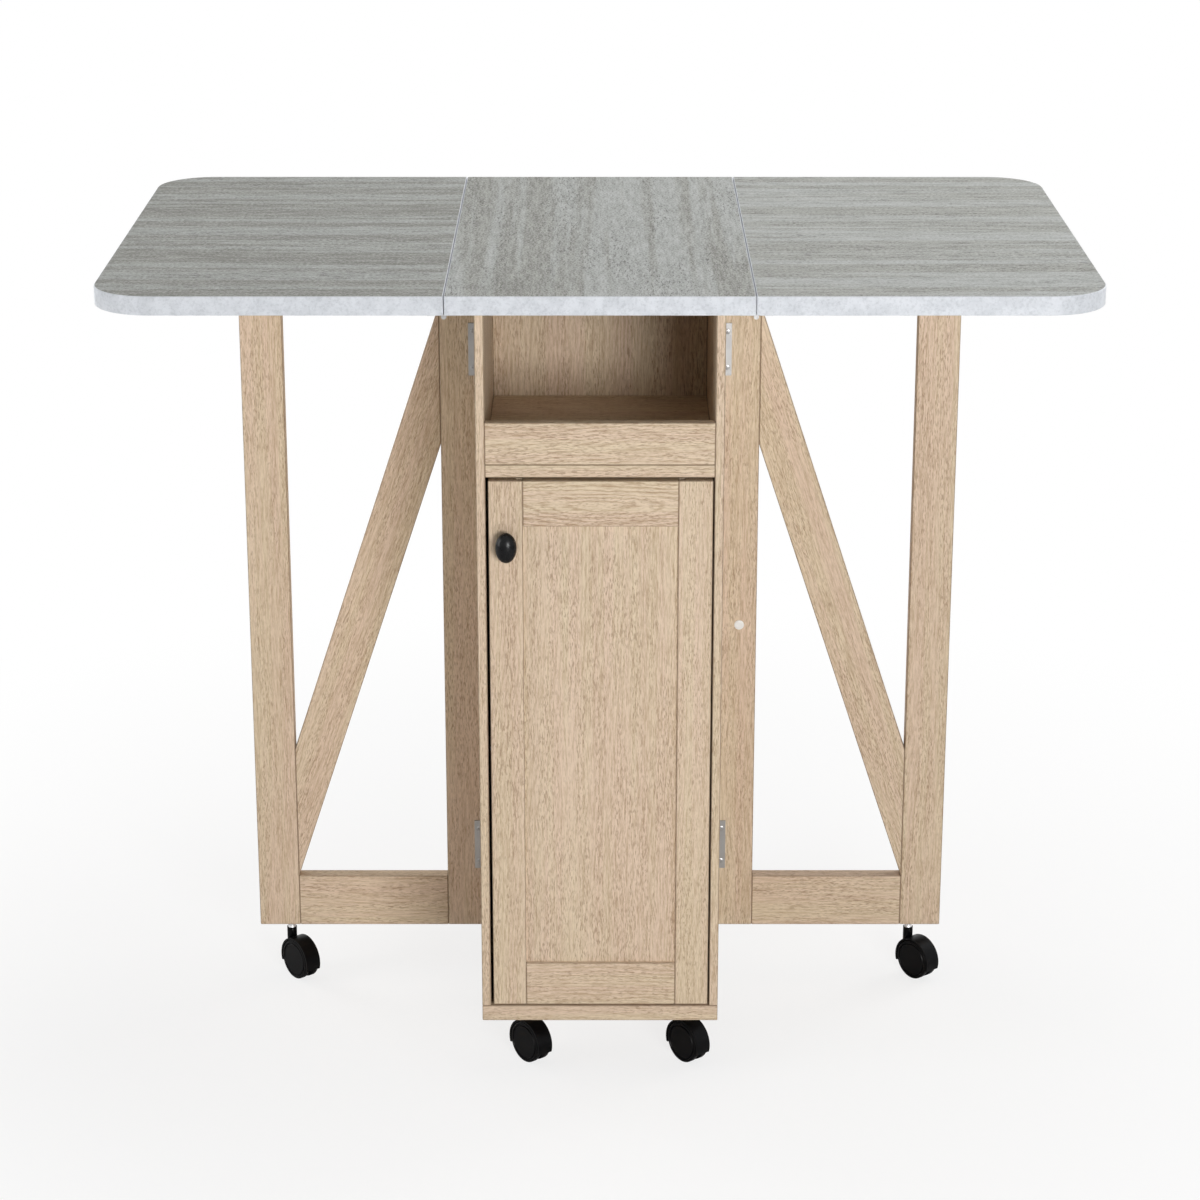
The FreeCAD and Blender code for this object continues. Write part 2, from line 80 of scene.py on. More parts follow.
def step(tree, value, low, high, to_low=0.0, to_high=1.0):
    """A smooth step of a value from one range to another."""
    return feed(tree, "MapRange", {"Value": value, "From Min": low, "From Max": high,
                                   "To Min": to_low, "To Max": to_high},
                interpolation_type="SMOOTHSTEP").outputs["Result"]


def streaks(tree, place, per_metre, detail, roughness=0.5):
    """Noise with so many cells to a metre along each axis, so that it can run along the grain."""
    scaled = feed(tree, "VectorMath", {0: place, 1: per_metre}, operation="MULTIPLY")
    return feed(tree, "TexNoise", {"Vector": scaled.outputs[0], "Scale": 1.0, "Detail": detail,
                                   "Roughness": roughness}).outputs["Fac"]


def tint(tree, factor, first, second):
    """A mix of two colours, all first at factor 0 and all second at factor 1."""
    return feed(tree, "Mix", {0: factor, 6: first, 7: second}, data_type="RGBA").outputs[2]


def new_print(name, inputs, outputs):
    """An empty node group with named sockets: its tree, its input and its output."""
    tree = bpy.data.node_groups.new(name, "ShaderNodeTree")
    for way, sockets in (("INPUT", inputs), ("OUTPUT", outputs)):
        for title, kind in sockets:
            tree.interface.new_socket(title, in_out=way, socket_type="NodeSocket" + kind)
    return tree, tree.nodes.new("NodeGroupInput"), tree.nodes.new("NodeGroupOutput")


def oak_print():
    """The printed oak, sawn from a log whose heart lies along X, and a dark line of painted shade
    at its edges.
    """
    tree, given, made = new_print(
        "oak print",
        [("Place", "Vector"), ("Facing", "Vector"), ("Rings", "Float"), ("Tone", "Float")],
        [("Colour", "Color"), ("Roughness", "Float"), ("Height", "Float")])
    place = given.outputs["Place"]

    # How far from the log's heart, with a slow and a fine waviness, gives the rings.
    log = feed(tree, "VectorMath", {0: place, 1: LOG_TAPER}, operation="MULTIPLY")
    log = feed(tree, "VectorMath", {0: log.outputs[0]}, operation="LENGTH").outputs["Value"]
    slow = streaks(tree, place, (7, 32, 32), detail=1, roughness=0.4)
    log = sums(tree, "MULTIPLY_ADD", slow, 0.026, log)
    fine = streaks(tree, place, (130, 420, 420), detail=2)
    log = sums(tree, "MULTIPLY_ADD", fine, 0.004, log)
    rings = sums(tree, "PINGPONG", sums(tree, "MULTIPLY", log, HALF_RINGS_PER_METRE), 1.0)
    rings = sums(tree, "ADD", step(tree, rings, 0.30, 1.0), -0.38)

    broad = streaks(tree, place, (1.3, 34, 34), detail=2)
    fibres = streaks(tree, place, (60, 900, 900), detail=4, roughness=0.75)
    pores = step(tree, streaks(tree, place, (190, 1250, 1250), detail=2), 0.50, 0.63)
    drift = streaks(tree, place, (9, 110, 110), detail=2)
    pores = sums(tree, "MULTIPLY", pores, step(tree, drift, 0.35, 0.60, 0.25, 1.0))

    shade = sums(tree, "MULTIPLY_ADD", broad, 0.62, -0.13)
    shade = laid_on(tree, shade, fibres, strength=2.7, offset=-1.28)
    shade = sums(tree, "ADD", shade, sums(tree, "MULTIPLY", rings, given.outputs["Rings"]))
    shade = feed(tree, "Clamp", {"Value": sums(tree, "ADD", shade, given.outputs["Tone"])})
    blush = step(tree, streaks(tree, place, (2.0, 70, 70), detail=2, roughness=0.6), 0.36, 0.64)
    wood = tint(tree, shade.outputs[0], tint(tree, blush, PALE_OAK, ROSY_OAK), BROWN_OAK)
    wood = tint(tree, sums(tree, "MULTIPLY", pores, 0.50), wood, PORE_BROWN)

    # A face looks along one axis or nearly so. A broken edge looks between two of them, and a
    # dark line of painted shade is put there, for the shadow in the seams.
    facing = feed(tree, "VectorMath", {0: given.outputs["Facing"]}, operation="ABSOLUTE")
    facing = feed(tree, "SeparateXYZ", {0: facing.outputs[0]}).outputs
    square = sums(tree, "MAXIMUM", sums(tree, "MAXIMUM", facing["X"], facing["Y"]), facing["Z"])
    # Mask for the painted seam shade on the broken edges.
    painted_seam_shade = step(tree, square, 0.78, 0.92, to_low=0.5, to_high=0.0)
    tree.links.new(tint(tree, painted_seam_shade, wood, PAINTED_SEAM_SHADE_BROWN), made.inputs["Colour"])
    tree.links.new(sums(tree, "MULTIPLY_ADD", pores, 0.14, 0.50), made.inputs["Roughness"])
    height = sums(tree, "SUBTRACT", sums(tree, "MULTIPLY", fibres, 0.4), pores)
    tree.links.new(height, made.inputs["Height"])
    return tree


def laminate(name, group, turn, slide, inputs, relief):
    """A printed laminate, turned and slid to its own stretch of the print."""
    material = bpy.data.materials.new(name)
    material.use_nodes = True
    tree = material.node_tree
    shader = tree.nodes["Principled BSDF"]
    on_board = feed(tree, "TexCoord").outputs
    place = feed(tree, "Mapping", {"Vector": on_board["Object"], "Location": slide,
                                   "Rotation": turn})
    sheet = tree.nodes.new("ShaderNodeGroup")
    sheet.name = "print"
    sheet.node_tree = group
    tree.links.new(place.outputs[0], sheet.inputs["Place"])
    if "Facing" in sheet.inputs:
        tree.links.new(on_board["Normal"], sheet.inputs["Facing"])
    for title, given in inputs.items():
        sheet.inputs[title].default_value = given
    tree.links.new(sheet.outputs["Colour"], shader.inputs["Base Color"])
    tree.links.new(sheet.outputs["Roughness"], shader.inputs["Roughness"])
    bump = feed(tree, "Bump", {"Height": sheet.outputs["Height"], "Strength": 0.5,
                               "Distance": relief})
    tree.links.new(bump.outputs[0], shader.inputs["Normal"])
    return material


def face_with(name, material):
    """Covers one of the table's cut boards or pressed parts with its finish."""
    nodes[name].data.materials.clear()
    nodes[name].data.materials.append(material)


OAK = oak_print()
ALONG, UP = 0.0, math.pi / 2
SLIDE_PER_BOARD = (0.37, 0.21, 0.53)
boards_covered = []


def oak_board(name, grain, rings, tone, heart=None):
    """Covers a board; heart is where the log's heart lies, and if none it is far away."""
    boards_covered.append(name)
    slide = tuple(part * len(boards_covered) for part in SLIDE_PER_BOARD)
    if heart:
        slide = tuple(-part for part in heart)
    face_with(name, laminate("oak " + name, OAK, (0, grain, 0), slide,
                             {"Rings": rings, "Tone": tone}, OAK_RELIEF))


for board, grain, rings, tone, heart in (
        ("side_panel_left", UP, 0.22, 0.0, None),
        ("side_panel_right", UP, 0.22, 0.0, None),
        ("bottom_board", ALONG, 0.22, 0.03, None),
        ("niche_floor", ALONG, 0.20, 0.04, None),
        ("niche_lip", ALONG, 0.34, 0.05, (0.045, -0.203, 0.565)),
        ("centre_partition", UP, 0.22, 0.05, None),
        ("rear_shelf_low", ALONG, 0.20, 0.02, None),
        ("rear_shelf_high", ALONG, 0.20, 0.02, None),
        ("cupboard_shelf", ALONG, 0.20, 0.02, None)):
    oak_board(board, grain, rings, tone, heart)


# ------------------------------------------------------------------ table top
# Three chipboard boards under a grey travertine laminate, whose layers run along the
# leaves and front to back on the middle board. A paler mottled band is glued round the
# edges, and the underside has a plain backing paper.
COOL_STONE, WARM_STONE = (0.470, 0.486, 0.472, 1), (0.466, 0.472, 0.442, 1)
DARK_STONE, PIT_GREY = (0.135, 0.134, 0.115, 1), (0.07, 0.066, 0.06, 1)
PALE_BAND, CLOUDED_BAND = (0.70, 0.725, 0.765, 1), (0.53, 0.555, 0.59, 1)
PALE_PAPER, GREY_PAPER = (0.64, 0.64, 0.62, 1), (0.54, 0.54, 0.52, 1)
STONE_RELIEF = 0.0001


def stone_print():
    """Travertine with its layers along X: wide layers, fine lines and nests of pits."""
    tree, given, made = new_print(
        "travertine print", [("Place", "Vector"), ("Tone", "Float")],
        [("Colour", "Color"), ("Roughness", "Float"), ("Height", "Float")])
    place = given.outputs["Place"]
    layers = streaks(tree, place, (1.2, 42, 42), detail=3, roughness=0.55)
    lines = streaks(tree, place, (36, 230, 230), detail=4, roughness=0.75)
    grit = streaks(tree, place, (330, 520, 520), detail=3, roughness=0.75)
    layers = step(tree, layers, 0.43, 0.57)
    shade = sums(tree, "MULTIPLY_ADD", layers, 0.27, -0.015)
    shade = laid_on(tree, shade, lines, strength=1.7, offset=-0.66)
    shade = laid_on(tree, shade, grit, strength=3.0, offset=-1.50)
    shade = sums(tree, "ADD", shade, given.outputs["Tone"])
    shade = feed(tree, "Clamp", {"Value": shade}).outputs[0]
    stone = tint(tree, shade, tint(tree, layers, COOL_STONE, WARM_STONE), DARK_STONE)
    pits = step(tree, streaks(tree, place, (90, 480, 480), detail=3, roughness=0.7), 0.55, 0.62)
    nests = step(tree, streaks(tree, place, (5, 34, 34), detail=2), 0.50, 0.60)
    pits = sums(tree, "MULTIPLY", pits, nests)
    pitted = tint(tree, sums(tree, "MULTIPLY", pits, 0.8), stone, PIT_GREY)
    tree.links.new(pitted, made.inputs["Colour"])
    tree.links.new(sums(tree, "MULTIPLY_ADD", lines, 0.16, 0.50), made.inputs["Roughness"])
    height = sums(tree, "SUBTRACT", sums(tree, "MULTIPLY", lines, 0.3), pits)
    tree.links.new(height, made.inputs["Height"])
    return tree


def edge_band():
    """The band round the edges, a pale blue-grey print with small soft clouds, and the paper."""
    tree, given, made = new_print("edge band", [("Place", "Vector")],
                                  [("Colour", "Color"), ("Paper", "Color")])
    place = given.outputs["Place"]
    clouds = streaks(tree, place, (85, 85, 85), detail=4, roughness=0.6)
    specks = streaks(tree, place, (420, 420, 420), detail=2, roughness=0.6)
    shade = sums(tree, "ADD", step(tree, clouds, 0.36, 0.66, 0.0, 0.5),
                 step(tree, specks, 0.45, 0.70, 0.0, 0.5))
    tree.links.new(tint(tree, shade, PALE_BAND, CLOUDED_BAND), made.inputs["Colour"])
    pulp = step(tree, streaks(tree, place, (240, 70, 70), detail=4, roughness=0.7), 0.3, 0.7)
    tree.links.new(tint(tree, pulp, PALE_PAPER, GREY_PAPER), made.inputs["Paper"])
    return tree


STONE, BAND = stone_print(), edge_band()


def top_board(name, turn, slide, tone):
    """The print on the face, the band on the edges, and the backing paper below."""
    material = laminate("travertine " + name, STONE, (0, 0, turn), slide, {"Tone": tone},
                        STONE_RELIEF)
    tree = material.node_tree
    on_board = tree.nodes["Texture Coordinate"].outputs
    band = tree.nodes.new("ShaderNodeGroup")
    band.node_tree = BAND
    tree.links.new(on_board["Object"], band.inputs["Place"])
    upward = feed(tree, "SeparateXYZ", {0: on_board["Normal"]}).outputs["Z"]
    edge = tint(tree, step(tree, upward, -0.95, -0.80), band.outputs["Paper"],
                band.outputs["Colour"])
    face = tint(tree, step(tree, upward, 0.80, 0.95), edge, tree.nodes["print"].outputs["Colour"])
    tree.links.new(face, tree.nodes["Principled BSDF"].inputs["Base Color"])
    face_with(name, material)


# The left leaf is printed darker and the right leaf lighter, the middle board between: painted
# light, as if the light falls from the right.
top_board("leaf_left", turn=0, slide=(0.3, 0.1, 0), tone=0.28)
top_board("top_centre", turn=math.pi / 2, slide=(1.7, 0.4, 0), tone=0.15)
top_board("leaf_right", turn=0, slide=(2.9, 1.3, 0), tone=0.02)


# ------------------------------------------------------------------ gates
# Each gate is a frame of two posts and two rails with a sloping brace, cut from the same
# oak-printed chipboard and joined with dowels. A white nylon glide on top of it slides
# under the leaf, and a white cap covers a screw in the right gate's inner post.
BRACE_RUN, BRACE_RISE = 0.146, 0.440
BRACE_SLOPE = math.atan2(BRACE_RUN, BRACE_RISE)
for side, lean in (("left", -1), ("right", 1)):
    for part, grain, rings, tone in (
            ("inner_post", UP, 0.18, 0.02), ("outer_post", UP, 0.15, 0.0),
            ("top_rail", ALONG, 0.20, 0.02), ("bottom_rail", ALONG, 0.22, -0.01),
            ("brace", UP + lean * BRACE_SLOPE, 0.18, -0.03)):
        oak_board("gate_%s_%s" % (side, part), grain, rings, tone)


SKIN_RELIEF = 0.00005


def moulded(name, colour, roughness, shine=0.5):
    """Moulded plastic or paint: a faint skin, and wear that pales and dulls it in places."""
    material = bpy.data.materials.new(name)
    material.use_nodes = True
    tree = material.node_tree
    shader = tree.nodes["Principled BSDF"]
    shader.inputs["Specular IOR Level"].default_value = shine
    place = feed(tree, "TexCoord").outputs["Object"]
    skin = streaks(tree, place, (1400, 1400, 1400), detail=2)
    scuffs = streaks(tree, place, (110, 110, 110), detail=4, roughness=0.6)
    worn = tuple(min(1.0, channel * 1.4 + 0.003) for channel in colour) + (1,)
    wear = step(tree, scuffs, 0.52, 0.80, to_low=0.0, to_high=0.7)
    tree.links.new(tint(tree, wear, colour + (1,), worn), shader.inputs["Base Color"])
    tree.links.new(sums(tree, "MULTIPLY_ADD", scuffs, 0.16, roughness - 0.08),
                   shader.inputs["Roughness"])
    bump = feed(tree, "Bump", {"Height": skin, "Strength": 0.25, "Distance": SKIN_RELIEF})
    tree.links.new(bump.outputs[0], shader.inputs["Normal"])
    return material


WHITE = moulded("white nylon", (0.80, 0.80, 0.78), roughness=0.38)
face_with("gate_left_glide", WHITE)
face_with("gate_right_glide", WHITE)


def pick(kind, wanted):
    """In edit mode, selects the faces or edges of the active mesh that are wanted."""
    mesh = bmesh.from_edit_mesh(bpy.context.object.data)
    bpy.ops.mesh.select_mode(type=kind)
    bpy.ops.mesh.select_all(action="DESELECT")
    for item in (mesh.faces if kind == "FACE" else mesh.edges):
        item.select_set(wanted(item))
    mesh.select_flush_mode()
    bmesh.update_edit_mesh(bpy.context.object.data)


def inset_rings(rings, outward):
    """Insets the picked face ring by ring, each as wide and raised as its pair says."""
    for width, rise in rings:
        bpy.ops.mesh.inset(thickness=width)
        bpy.ops.transform.translate(value=[part * rise for part in outward])


def settle(piece, name, finish, smooth=35):
    """Puts a piece's place into its mesh, shades it and gives it its name and finish."""
    bpy.ops.object.select_all(action="DESELECT")
    piece.select_set(True)
    bpy.context.view_layer.objects.active = piece
    bpy.ops.object.transform_apply(location=True, rotation=True, scale=True)
    bpy.ops.object.shade_smooth_by_angle(angle=math.radians(smooth))
    piece.name = piece.data.name = name
    piece.data.materials.clear()
    piece.data.materials.append(finish)
    bpy.ops.object.select_all(action="DESELECT")


CAP_X, GATE_FRONT, CAP_Z = 0.133, 0.005, 0.367
CAP_RADIUS, CAP_THICK = 0.0046, 0.0012
CAP_RINGS = ((0.0006, 0.0003), (0.0014, 0.0), (0.0004, -0.0003))
bpy.ops.mesh.primitive_cylinder_add(vertices=48, radius=CAP_RADIUS, depth=CAP_THICK,
                                    rotation=(math.pi / 2, 0, 0),
                                    location=(CAP_X, GATE_FRONT - CAP_THICK / 2, CAP_Z))
cap = bpy.context.object
bpy.ops.object.transform_apply(location=True, rotation=True)
bpy.ops.object.mode_set(mode="EDIT")
pick("FACE", lambda face: face.normal.y < -0.9)
inset_rings(CAP_RINGS, outward=(0, -1, 0))
bpy.ops.object.mode_set(mode="OBJECT")
settle(cap, "gate_right_cap", WHITE)
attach(cap, "gate_right")


# ------------------------------------------------------------------ door
# A framed door: a thin panel in the grooves of two stiles and two rails, all in the same
# oak print, with the rails' grain across. It closes on a small magnetic catch.
for part, grain, rings, tone, heart in (
        ("left_stile", UP, 0.24, -0.02, None),
        ("right_stile", UP, 0.24, 0.01, None),
        ("top_rail", ALONG, 0.46, 0.05, (-0.005, -0.214, 0.549)),
        ("bottom_rail", ALONG, 0.34, 0.02, None),
        ("panel", UP, 0.20, -0.03, None)):
    oak_board("door_" + part, grain, rings, tone, heart)

NYLON = moulded("black nylon", (0.002, 0.002, 0.0025), roughness=0.34, shine=0.10)
face_with("door_catch", NYLON)


# ------------------------------------------------------------------ knob
# An oval knob of die-cast zinc, painted satin black and screwed on through the stile. Its
# front is a full dome, and it narrows behind to a flared neck.
KNOB_X, KNOB_FRONT, KNOB_Z = -0.0824, -0.229, 0.5155
HALF_WIDE, HALF_DEEP, HALF_TALL = 0.0095, 0.0078, 0.01375
DOME_DEEP, DOME_BACK = 0.0112, 0.94
# How far back each step of the neck goes, and how much wider and taller it gets.
NECK_STEPS = ((0.0008, 0.80, 0.60), (0.0022, 0.86, 0.84), (0.0026, 1.0, 1.0),
              (0.0022, 1.25, 1.2))
bpy.ops.mesh.primitive_uv_sphere_add(segments=64, ring_count=48, radius=1,
                                     rotation=(math.pi / 2, 0, 0),
                                     location=(KNOB_X, KNOB_FRONT + HALF_DEEP, KNOB_Z))
knob = bpy.context.object
bpy.ops.object.transform_apply(location=False, rotation=True)
knob.scale = (HALF_WIDE, HALF_DEEP, HALF_TALL)
bpy.ops.object.transform_apply(location=True, scale=True)
bpy.ops.object.mode_set(mode="EDIT")
bpy.ops.mesh.select_all(action="SELECT")
bpy.ops.mesh.bisect(plane_co=(0, KNOB_FRONT + DOME_DEEP, 0), plane_no=(0, 1, 0),
                    clear_outer=True, use_fill=True)
pick("FACE", lambda face: face.normal.y > 0.9 and len(face.verts) > 8)
middle = (KNOB_X, KNOB_FRONT, KNOB_Z)
bpy.ops.transform.resize(value=(DOME_BACK, 1, DOME_BACK), center_override=middle)
for back, wide, tall in NECK_STEPS:
    bpy.ops.mesh.extrude_region_move(TRANSFORM_OT_translate={"value": (0, back, 0)})
    bpy.ops.transform.resize(value=(wide, 1, tall), center_override=middle)
bpy.ops.object.mode_set(mode="OBJECT")
PAINT = moulded("satin black paint", (0.003, 0.003, 0.0035), roughness=0.27, shine=0.2)
settle(knob, "knob", PAINT, smooth=50)
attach(knob, "door")
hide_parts("door_knob")


# ------------------------------------------------------------------ hinges and brackets
# Pressed steel with a bright zinc coat: butt hinges on the gates and leaves, angles under
# the middle board, cup hinges in the door, and small angles that carry the shelf. The
# butt hinges are held by screws with a low head and a round socket.
def bright_metal(name, bright, dull):
    """Bare or coated metal, brushed along Z, with dull smudges."""
    material = bpy.data.materials.new(name)
    material.use_nodes = True
    tree = material.node_tree
    shader = tree.nodes["Principled BSDF"]
    place = feed(tree, "TexCoord").outputs["Object"]
    smudges = streaks(tree, place, (70, 70, 70), detail=3)
    brushed = streaks(tree, place, (900, 900, 60), detail=2)
    shader.inputs["Metallic"].default_value = 1.0
    tree.links.new(tint(tree, smudges, bright, dull), shader.inputs["Base Color"])
    tree.links.new(sums(tree, "MULTIPLY_ADD", brushed, 0.22, 0.26), shader.inputs["Roughness"])
    return material


ZINC = bright_metal("zinc coat", (0.44, 0.435, 0.43, 1), (0.33, 0.325, 0.32, 1))
for part in ("top_brackets", "shelf_supports", "door_hinge_cups", "door_hinge_arms",
             "door_catch_plate"):
    face_with(part, ZINC)
for side in ("left", "right"):
    for part in ("gate_%s_hinge_plates", "gate_%s_hinge_flaps", "leaf_%s_hinge_plates",
                 "leaf_%s_hinge_flaps"):
        face_with(part % side, ZINC)

HEAD_RADIUS, HEAD_THICK, SOCKET_DEEP, SOCKET_TAPER = 0.0024, 0.0006, 0.0005, 0.5
HEAD_RINGS = ((0.0007, 0.0003), (0.0009, 0.0))
bpy.ops.mesh.primitive_cylinder_add(vertices=24, radius=HEAD_RADIUS, depth=HEAD_THICK)
screw = bpy.context.object
bpy.ops.object.mode_set(mode="EDIT")
pick("FACE", lambda face: face.normal.z > 0.9)
inset_rings(HEAD_RINGS, outward=(0, 0, 1))
bpy.ops.mesh.extrude_region_move(TRANSFORM_OT_translate={"value": (0, 0, -SOCKET_DEEP)})
bpy.ops.transform.resize(value=(SOCKET_TAPER, SOCKET_TAPER, 1))
bpy.ops.object.mode_set(mode="OBJECT")
settle(screw, "screw", ZINC)


def drive_screws(name, body, facing, spots):
    """Screw heads on a hinge, each with its middle at its spot and all facing one way."""
    heads = bmesh.new()
    turn = Vector(facing).to_track_quat("Z", "Y").to_matrix().to_4x4()
    for spot in spots:
        one = screw.data.copy()
        one.transform(Matrix.Translation(spot) @ turn)
        heads.from_mesh(one)
    mesh = bpy.data.meshes.new(name)
    heads.to_mesh(mesh)
    mesh.materials.append(ZINC)
    heads_object = bpy.data.objects.new(name, mesh)
    bpy.context.scene.collection.objects.link(heads_object)
    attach(heads_object, body)


HINGE_LOWS, HINGE_TALL, SCREW_ROWS = (0.115, 0.613), 0.050, (0.16, 0.84)
FLAP_SCREW_X, FLAP_SCREW_Y = 0.1183, 0.0037
PLATE_SCREW_X, PLATE_SCREW_Y = 0.1098, -0.0060
for side, way in (("left", -1), ("right", 1)):
    heights = [low + HINGE_TALL * row for low in HINGE_LOWS for row in SCREW_ROWS]
    drive_screws("gate_%s_flap_screws" % side, "gate_" + side, (0, -1, 0),
                 [(way * FLAP_SCREW_X, FLAP_SCREW_Y, height) for height in heights])
    drive_screws("gate_%s_plate_screws" % side, "cabinet", (way, 0, 0),
                 [(way * PLATE_SCREW_X, PLATE_SCREW_Y, height) for height in heights])
bpy.data.objects.remove(screw)


# ------------------------------------------------------------------ casters
# Six twin-wheel casters of moulded black nylon: a hood with a web between two wheels on
# one axle, and beside it a neck with a bright steel stem that is pressed into the board.
# Each wheel has a rounded tread and a groove round its cap, and the stem has a groove too.
STEM_TO_AXLE, AXLE_UP, AXLE_RADIUS, AXLE_END = 0.0135, 0.0195, 0.0015, 0.0026
WHEEL_IN, WHEEL_OUT, TREAD_ROUND = 0.0025, 0.0080, 0.0008
CAP_GROOVE_RINGS = ((0.0022, 0.0), (0.0005, -0.0009), (0.0008, 0.0), (0.0006, 0.0009),
                    (0.0070, 0.0))
HOOD_RADIUS, HOOD_INSIDE, HOOD_LOW, HOOD_SOFT = 0.022, 0.0202, 0.013, 0.0004
WEB_HALF, BOSS_RADIUS, PAST_SIDE = 0.0020, 0.0065, 0.0120
NECK_RADIUS, NECK_TALL, NECK_MIDDLE = 0.0048, 0.017, 0.0405
STEM_RADIUS, STEM_TALL, STEM_MIDDLE, STEM_SOFT = 0.004, 0.0150, 0.0565, 0.0006
GROOVE_LOW, GROOVE_MIDDLE, GROOVE_HIGH, GROOVE_WAIST = 0.0512, 0.0516, 0.0520, 0.86
# Less than this apart, two points count as level.
HAIR = 0.00001


def disc(radius, low_y, high_y, verts=96):
    """A round blank on the axle's line, from one side to the other."""
    bpy.ops.mesh.primitive_cylinder_add(
        vertices=verts, radius=radius, depth=high_y - low_y, rotation=(math.pi / 2, 0, 0),
        location=(STEM_TO_AXLE, (low_y + high_y) / 2, AXLE_UP))
    blank = bpy.context.object
    bpy.ops.object.transform_apply(location=True, rotation=True)
    return blank


def mill(piece, tool, operation):
    """Cuts a tool's shape out of a piece, or fuses it on, and drops the tool."""
    work = piece.modifiers.new("mill", "BOOLEAN")
    work.operation = operation
    work.object = tool
    bpy.context.view_layer.objects.active = piece
    bpy.ops.object.modifier_apply(modifier="mill")
    bpy.data.objects.remove(tool)


def on_tread_rim(edge):
    """Whether an edge lies on one of the two circles where the tread meets a side."""
    first, second = (vert.co - Vector((STEM_TO_AXLE, 0, AXLE_UP)) for vert in edge.verts)
    round_axle = abs(first.y - second.y) < HAIR
    return round_axle and min(first.xz.length, second.xz.length) > AXLE_UP - HAIR


def one_wheel(way):
    """A wheel of a caster; way is 1 or -1, for the side of the web on which it runs."""
    wheel = disc(AXLE_UP, *sorted((way * WHEEL_IN, way * WHEEL_OUT)))
    bpy.ops.object.mode_set(mode="EDIT")
    pick("FACE", lambda face: face.normal.y * way > 0.9)
    inset_rings(CAP_GROOVE_RINGS, outward=(0, way, 0))
    pick("EDGE", on_tread_rim)
    bpy.ops.mesh.bevel(offset=TREAD_ROUND, segments=3)
    bpy.ops.object.mode_set(mode="OBJECT")
    return wheel


wheels, other_wheel = one_wheel(1), one_wheel(-1)
axle = disc(AXLE_RADIUS, -AXLE_END, AXLE_END, verts=32)
bpy.ops.object.select_all(action="DESELECT")
for rolling in (wheels, other_wheel, axle):
    rolling.select_set(True)
bpy.context.view_layer.objects.active = wheels
bpy.ops.object.join()

hood = disc(HOOD_RADIUS, -WHEEL_OUT, WHEEL_OUT)
bpy.ops.object.mode_set(mode="EDIT")
bpy.ops.mesh.select_all(action="SELECT")
bpy.ops.mesh.bisect(plane_co=(STEM_TO_AXLE, 0, HOOD_LOW), plane_no=(0, 0, 1),
                    clear_inner=True, use_fill=True)
bpy.ops.object.mode_set(mode="OBJECT")
bpy.ops.mesh.primitive_cylinder_add(vertices=48, radius=NECK_RADIUS, depth=NECK_TALL,
                                    location=(0, 0, NECK_MIDDLE))
mill(hood, bpy.context.object, "UNION")
mill(hood, disc(HOOD_INSIDE, WEB_HALF, PAST_SIDE), "DIFFERENCE")
mill(hood, disc(HOOD_INSIDE, -PAST_SIDE, -WEB_HALF), "DIFFERENCE")
mill(hood, disc(BOSS_RADIUS, -WEB_HALF, WEB_HALF, verts=48), "UNION")
soften = hood.modifiers.new("soften", "BEVEL")
soften.width, soften.segments = HOOD_SOFT, 2
bpy.ops.object.modifier_apply(modifier="soften")

bpy.ops.mesh.primitive_cylinder_add(vertices=48, radius=STEM_RADIUS, depth=STEM_TALL,
                                    location=(0, 0, STEM_MIDDLE))
stem = bpy.context.object
bpy.ops.object.transform_apply(location=True)
bpy.ops.object.mode_set(mode="EDIT")
pick("EDGE", lambda edge: all(vert.co.z > STEM_MIDDLE + STEM_TALL / 2 - HAIR
                              for vert in edge.verts))
bpy.ops.mesh.bevel(offset=STEM_SOFT, segments=2)
for cut in (GROOVE_LOW, GROOVE_HIGH):
    bpy.ops.mesh.select_all(action="SELECT")
    bpy.ops.mesh.bisect(plane_co=(0, 0, cut), plane_no=(0, 0, 1))
pick("FACE", lambda face: GROOVE_LOW + HAIR < face.calc_center_median().z < GROOVE_HIGH - HAIR)
bpy.ops.transform.resize(value=(GROOVE_WAIST, GROOVE_WAIST, 1),
                         center_override=(0, 0, GROOVE_MIDDLE))
bpy.ops.object.mode_set(mode="OBJECT")
STEEL = bright_metal("turned steel", (0.86, 0.86, 0.87, 1), (0.72, 0.72, 0.73, 1))

CABINET_CASTER_X, CABINET_CASTER_Y = 0.0735, 0.170
GATE_CASTER_X, GATE_CASTER_Y = 0.305, 0.0125
CASTERS = {"front_left": (-CABINET_CASTER_X, -CABINET_CASTER_Y),
           "front_right": (CABINET_CASTER_X, -CABINET_CASTER_Y),
           "rear_left": (-CABINET_CASTER_X, CABINET_CASTER_Y),
           "rear_right": (CABINET_CASTER_X, CABINET_CASTER_Y),
           "gate_left": (-GATE_CASTER_X, GATE_CASTER_Y),
           "gate_right": (GATE_CASTER_X, GATE_CASTER_Y)}
TRAILING = Matrix.Rotation(math.radians(-50), 4, "Z")
for pattern, kind, finish, slot, body in (
        (wheels, "wheels", NYLON, "black_plastic", "wheels"),
        (hood, "hood", NYLON, "black_plastic", "fork"),
        (stem, "stem", STEEL, "steel", "fork")):
    settle(pattern, kind + "_pattern", finish)
    for caster, (across, along) in CASTERS.items():
        piece = bpy.data.objects.new("caster_%s_%s" % (caster, kind), pattern.data.copy())
        bpy.context.scene.collection.objects.link(piece)
        piece.data.transform(Matrix.Translation((across, along, 0)) @ TRAILING)
        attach(piece, "%s_%s" % (body, caster))
        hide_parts("caster_%s_%s" % (caster, body))
    bpy.data.objects.remove(pattern)


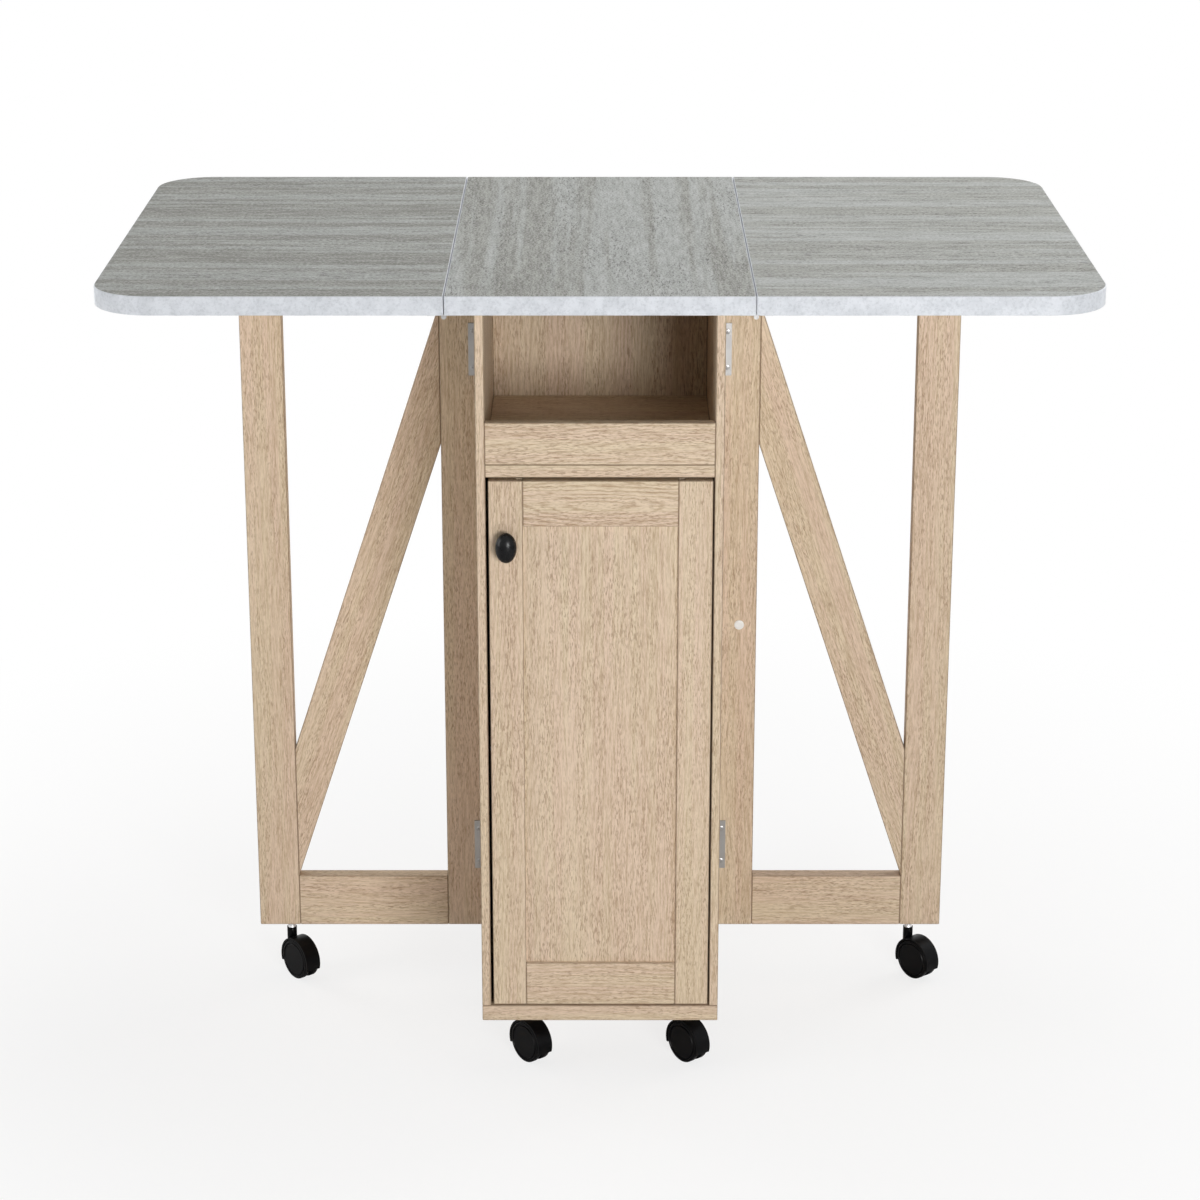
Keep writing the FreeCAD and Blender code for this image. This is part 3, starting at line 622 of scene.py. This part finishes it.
# ------------------------------------------------------------------ studio
# A white floor that keeps the table's soft shadow close to it and fades into a white
# surround. One wide lamp stands low in front, a little to the right. One hangs above, one
# lights the left side, and two light the back.
FLOOR_WIDE, FADE_FROM, FADE_TO, FADE_NEAR = 24, 0.45, 1.2, 0.78
SURROUND_LIGHT, SURROUND_SEEN = 0.06, 1.0
bpy.ops.mesh.primitive_plane_add(size=FLOOR_WIDE, location=(0, 0, 0))
floor = bpy.context.object
floor.name = "floor"
paint = bpy.data.materials.new("floor paint")
paint.use_nodes = True
tree = paint.node_tree
matt = tree.nodes["Principled BSDF"]
matt.inputs["Base Color"].default_value = (0.90, 0.90, 0.90, 1)
matt.inputs["Roughness"].default_value = 0.9
away = feed(tree, "TexCoord").outputs["Object"]
away = feed(tree, "VectorMath", {0: away}, operation="LENGTH").outputs["Value"]
seen = feed(tree, "LightPath").outputs["Is Camera Ray"]
fade = sums(tree, "MULTIPLY", step(tree, away, FADE_FROM, FADE_TO, FADE_NEAR, 1.0), seen)
white = feed(tree, "Emission", {"Color": (1, 1, 1, 1), "Strength": 1.0})
mixed = feed(tree, "MixShader", {0: fade, 1: matt.outputs[0], 2: white.outputs[0]})
tree.links.new(mixed.outputs[0], tree.nodes["Material Output"].inputs["Surface"])
floor.data.materials.append(paint)

world = bpy.data.worlds.new("surround")
bpy.context.scene.world = world
world.use_nodes = True
tree = world.node_tree
path = feed(tree, "LightPath")
seen = path.outputs["Is Camera Ray"]
for ray in ("Is Glossy Ray", "Is Transmission Ray"):
    seen = sums(tree, "MAXIMUM", seen, path.outputs[ray])
level = feed(tree, "Mix", {0: seen, 2: SURROUND_LIGHT, 3: SURROUND_SEEN}, data_type="FLOAT")
tree.nodes["Background"].inputs["Color"].default_value = (1, 1, 1, 1)
tree.links.new(level.outputs[0], tree.nodes["Background"].inputs["Strength"])

for name, spot, aim, size, power in (
        ("key", (0.95, -3.0, 0.95), (0, 0, 0.40), (1.0, 0.8), 56),
        ("overhead", (0.6, 0.3, 2.8), (0, 0, 0.7), (1.8, 1.8), 34),
        ("left", (-2.8, -0.8, 1.1), (0, 0, 0.4), (1.2, 1.6), 26),
        ("back left", (-2.5, 1.9, 1.2), (0, 0, 0.4), (1.2, 1.6), 36),
        ("back right", (2.5, 1.9, 1.2), (0, 0, 0.4), (1.2, 1.6), 36)):
    light = bpy.data.lights.new(name, "AREA")
    light.shape = "RECTANGLE"
    light.size, light.size_y = size
    light.energy = power
    lamp = bpy.data.objects.new(name, light)
    lamp.location = spot
    lamp.rotation_euler = (Vector(aim) - Vector(spot)).to_track_quat("-Z", "Y").to_euler()
    lamp.visible_camera = False
    bpy.context.scene.collection.objects.link(lamp)


# ------------------------------------------------------------------ camera
# It stands nearly three metres in front of the table, at almost twice its height, and
# looks down on it a little.
CAMERA_BACK, CAMERA_UP, LOOKS_DOWN = 2.912, 1.369, 18.52
lens = bpy.data.cameras.new("camera")
lens.sensor_width, lens.lens, lens.clip_end = 36, 96.7, 100
camera = bpy.data.objects.new("camera", lens)
camera.location = (0, -CAMERA_BACK, CAMERA_UP)
camera.rotation_euler = (math.radians(90 - LOOKS_DOWN), 0, 0)
bpy.context.scene.collection.objects.link(camera)
bpy.context.scene.camera = camera
bpy.context.scene.view_settings.view_transform = "Standard"
